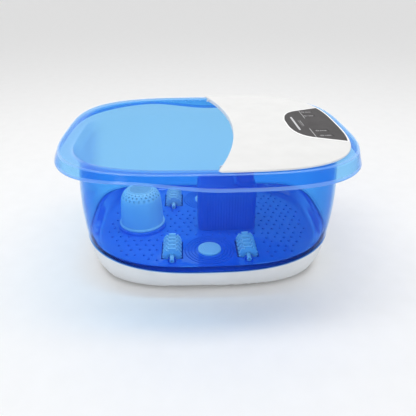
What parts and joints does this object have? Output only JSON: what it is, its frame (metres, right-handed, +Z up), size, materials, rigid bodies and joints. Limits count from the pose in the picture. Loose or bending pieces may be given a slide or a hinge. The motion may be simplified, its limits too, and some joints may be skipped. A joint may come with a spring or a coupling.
{
  "type": "foot spa basin",
  "caption": "Oval translucent foot spa tub on a low base, with massage rollers, a herb cup, a hollow blower island and a splash cover that carries a key panel.",
  "frame": {"origin": "on the ground, under the middle of the basin", "axes": "+X towards the toe end with the splash cover and panel, +Z up, +Y across the basin, so the cord gland is on the +Y side"},
  "size_m": [0.4088, 0.3468, 0.1965],
  "materials": {
    "tub_blue": "clear blue polycarbonate, polished",
    "base_white": "satin moulded ABS",
    "cover_white": "fine satin moulded ABS",
    "panel_grey": "matt printed film",
    "lens_clear": "frosted light window",
    "massage_white": "satin moulded polypropylene",
    "foot_rubber": "matt rubber",
    "screw_steel": "zinc plated",
    "motor_steel": "pressed steel can",
    "heater_aluminium": "rolled",
    "board_green": "coated circuit board",
    "fitting_black": "moulded nylon"
  },
  "bodies": {
    "basin": {"tub_shell": "tub_blue", "base_shroud": "base_white", "bottom_plate": "base_white", "splash_cover": "cover_white", "electronics_tray": "cover_white", "control_panel": "panel_grey", "indicator_lens": "lens_clear", "bubble_disc_1": "massage_white", "bubble_disc_2": "massage_white", "herb_cup_seat": "massage_white", "rubber_foot_1": "foot_rubber", "rubber_foot_2": "foot_rubber", "rubber_foot_3": "foot_rubber", "rubber_foot_4": "foot_rubber", "air_duct": "foot_rubber", "base_screw_1": "screw_steel", "base_screw_2": "screw_steel", "base_screw_3": "screw_steel", "base_screw_4": "screw_steel", "base_screw_5": "screw_steel", "base_screw_6": "screw_steel", "column_screw_1": "screw_steel", "column_screw_2": "screw_steel", "tray_screw_1": "screw_steel", "tray_screw_2": "screw_steel", "tray_screw_3": "screw_steel", "tray_screw_4": "screw_steel", "thermal_fuse": "screw_steel", "vibration_motor": "motor_steel", "blower_motor": "motor_steel", "heater_plate": "heater_aluminium", "panel_board": "board_green", "power_board": "board_green", "cord_gland": "fitting_black", "motor_bracket": "fitting_black", "thermostat": "fitting_black", "blower_housing": "fitting_black", "wire_harness": "fitting_black"},
    "axle_1": {"roller_axle_1": "massage_white"},
    "drum_1": {"roller_1": "massage_white"},
    "axle_2": {"roller_axle_2": "massage_white"},
    "drum_2": {"roller_2": "massage_white"},
    "axle_3": {"roller_axle_3": "massage_white"},
    "drum_3": {"roller_3": "massage_white"},
    "axle_4": {"roller_axle_4": "massage_white"},
    "drum_4": {"roller_4": "massage_white"},
    "herb_cup": {"herb_cup": "massage_white"},
    "herb_cup_cap": {"herb_cup_cap": "massage_white"},
    "key_1": {"panel_key_1": "panel_grey"},
    "key_2": {"panel_key_2": "panel_grey"},
    "key_3": {"panel_key_3": "panel_grey"},
    "key_4": {"panel_key_4": "panel_grey"},
    "vibration_weight": {"eccentric_weight": "screw_steel"},
    "impeller": {"blower_impeller": "fitting_black"}
  },
  "joints": [
    {"name": "roller_lift_1", "type": "slide", "parent": "basin", "child": "axle_1", "axis": [0, 0, 1], "range_m": [0, 0.03]},
    {"name": "roller_spin_1", "type": "hinge", "parent": "axle_1", "child": "drum_1", "pos_m": [-0.0535, -0.078, 0.0375], "axis": [0, 1, 0], "continuous": true},
    {"name": "roller_lift_2", "type": "slide", "parent": "basin", "child": "axle_2", "axis": [0, 0, 1], "range_m": [0, 0.03]},
    {"name": "roller_spin_2", "type": "hinge", "parent": "axle_2", "child": "drum_2", "pos_m": [0.0535, -0.078, 0.0375], "axis": [0, 1, 0], "continuous": true},
    {"name": "roller_lift_3", "type": "slide", "parent": "basin", "child": "axle_3", "axis": [0, 0, 1], "range_m": [0, 0.03]},
    {"name": "roller_spin_3", "type": "hinge", "parent": "axle_3", "child": "drum_3", "pos_m": [-0.0535, 0.078, 0.0375], "axis": [0, 1, 0], "continuous": true},
    {"name": "roller_lift_4", "type": "slide", "parent": "basin", "child": "axle_4", "axis": [0, 0, 1], "range_m": [0, 0.03]},
    {"name": "roller_spin_4", "type": "hinge", "parent": "axle_4", "child": "drum_4", "pos_m": [0.0535, 0.078, 0.0375], "axis": [0, 1, 0], "continuous": true},
    {"name": "herb_cup_lift", "type": "slide", "parent": "basin", "child": "herb_cup", "axis": [0, 0, 1], "range_m": [0, 0.16]},
    {"name": "herb_cap_lift", "type": "slide", "parent": "herb_cup", "child": "herb_cup_cap", "axis": [0, 0, 1], "range_m": [0, 0.03]},
    {"name": "key_press_1", "type": "slide", "parent": "basin", "child": "key_1", "axis": [0, 0, -1], "range_m": [0, 0.0005], "stiffness_N_per_m": 800, "springref_m": -0.0005},
    {"name": "key_press_2", "type": "slide", "parent": "basin", "child": "key_2", "axis": [0, 0, -1], "range_m": [0, 0.0005], "stiffness_N_per_m": 800, "springref_m": -0.0005},
    {"name": "key_press_3", "type": "slide", "parent": "basin", "child": "key_3", "axis": [0, 0, -1], "range_m": [0, 0.0005], "stiffness_N_per_m": 800, "springref_m": -0.0005},
    {"name": "key_press_4", "type": "slide", "parent": "basin", "child": "key_4", "axis": [0, 0, -1], "range_m": [0, 0.0005], "stiffness_N_per_m": 800, "springref_m": -0.0005},
    {"name": "vibration_spin", "type": "hinge", "parent": "basin", "child": "vibration_weight", "pos_m": [-0.048, -0.017, 0.0194], "axis": [0, 1, 0], "continuous": true},
    {"name": "impeller_spin", "type": "hinge", "parent": "basin", "child": "impeller", "pos_m": [0.022, 0, 0.055], "axis": [0, 0, 1], "continuous": true}
  ]
}
